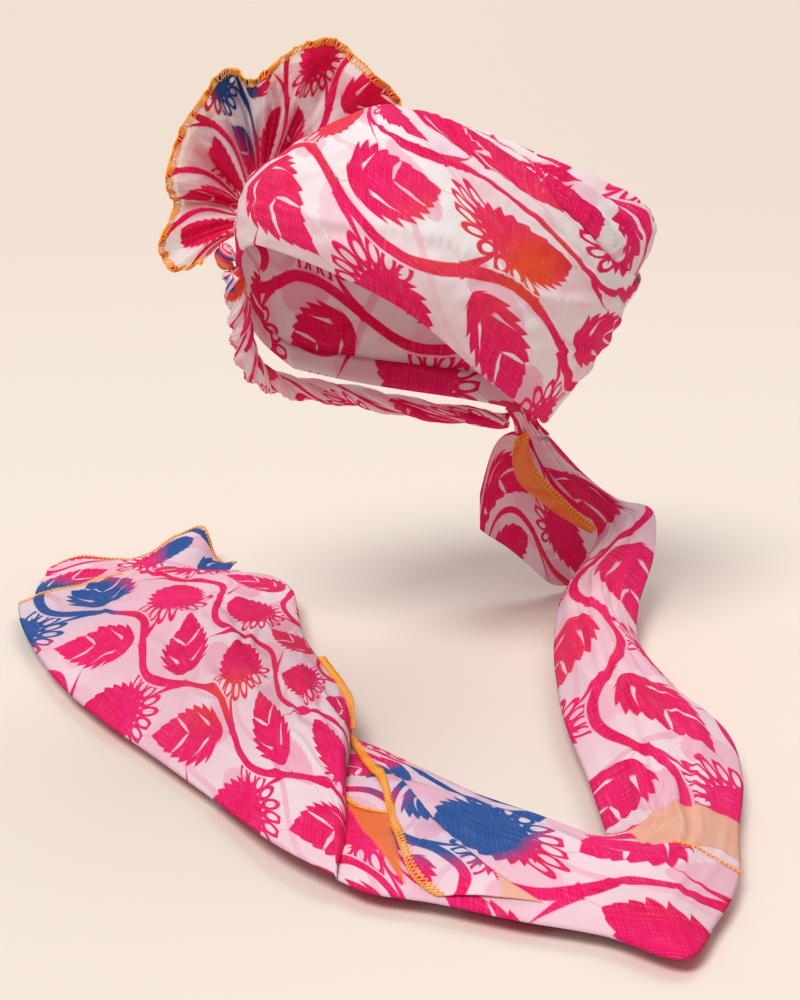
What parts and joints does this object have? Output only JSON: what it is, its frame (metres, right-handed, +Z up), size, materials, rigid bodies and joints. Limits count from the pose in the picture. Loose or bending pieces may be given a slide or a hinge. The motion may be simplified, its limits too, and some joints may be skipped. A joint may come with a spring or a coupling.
{
  "type": "safa turban",
  "caption": "Pre-tied safa turban of sheer voile printed with pink leaves, blooms and vines, with a standing ruffle, a twisted side roll and a long tail hemmed in orange.",
  "frame": {"origin": "inside top of the crown, on the head's axis", "axes": "+Z up, -Y the way the wearer faces, +X the wearer's left"},
  "size_m": [0.721, 0.4889, 0.379],
  "materials": {
    "printed_voile": "sheer printed voile",
    "border_voile": "plain orange border"
  },
  "bodies": {
    "root": {"brow_wrap": "printed_voile", "crown_cap": "printed_voile", "fan_front": "printed_voile", "fan_back": "printed_voile", "fan_knot": "printed_voile", "side_twist": "printed_voile", "nape_gather": "printed_voile", "tail_run": "printed_voile", "tail_end": "printed_voile", "tail_under_layer": "printed_voile", "tail_border_flap": "border_voile", "tail_cross_flap": "printed_voile", "tail_end_fold": "printed_voile"}
  },
  "joints": []
}
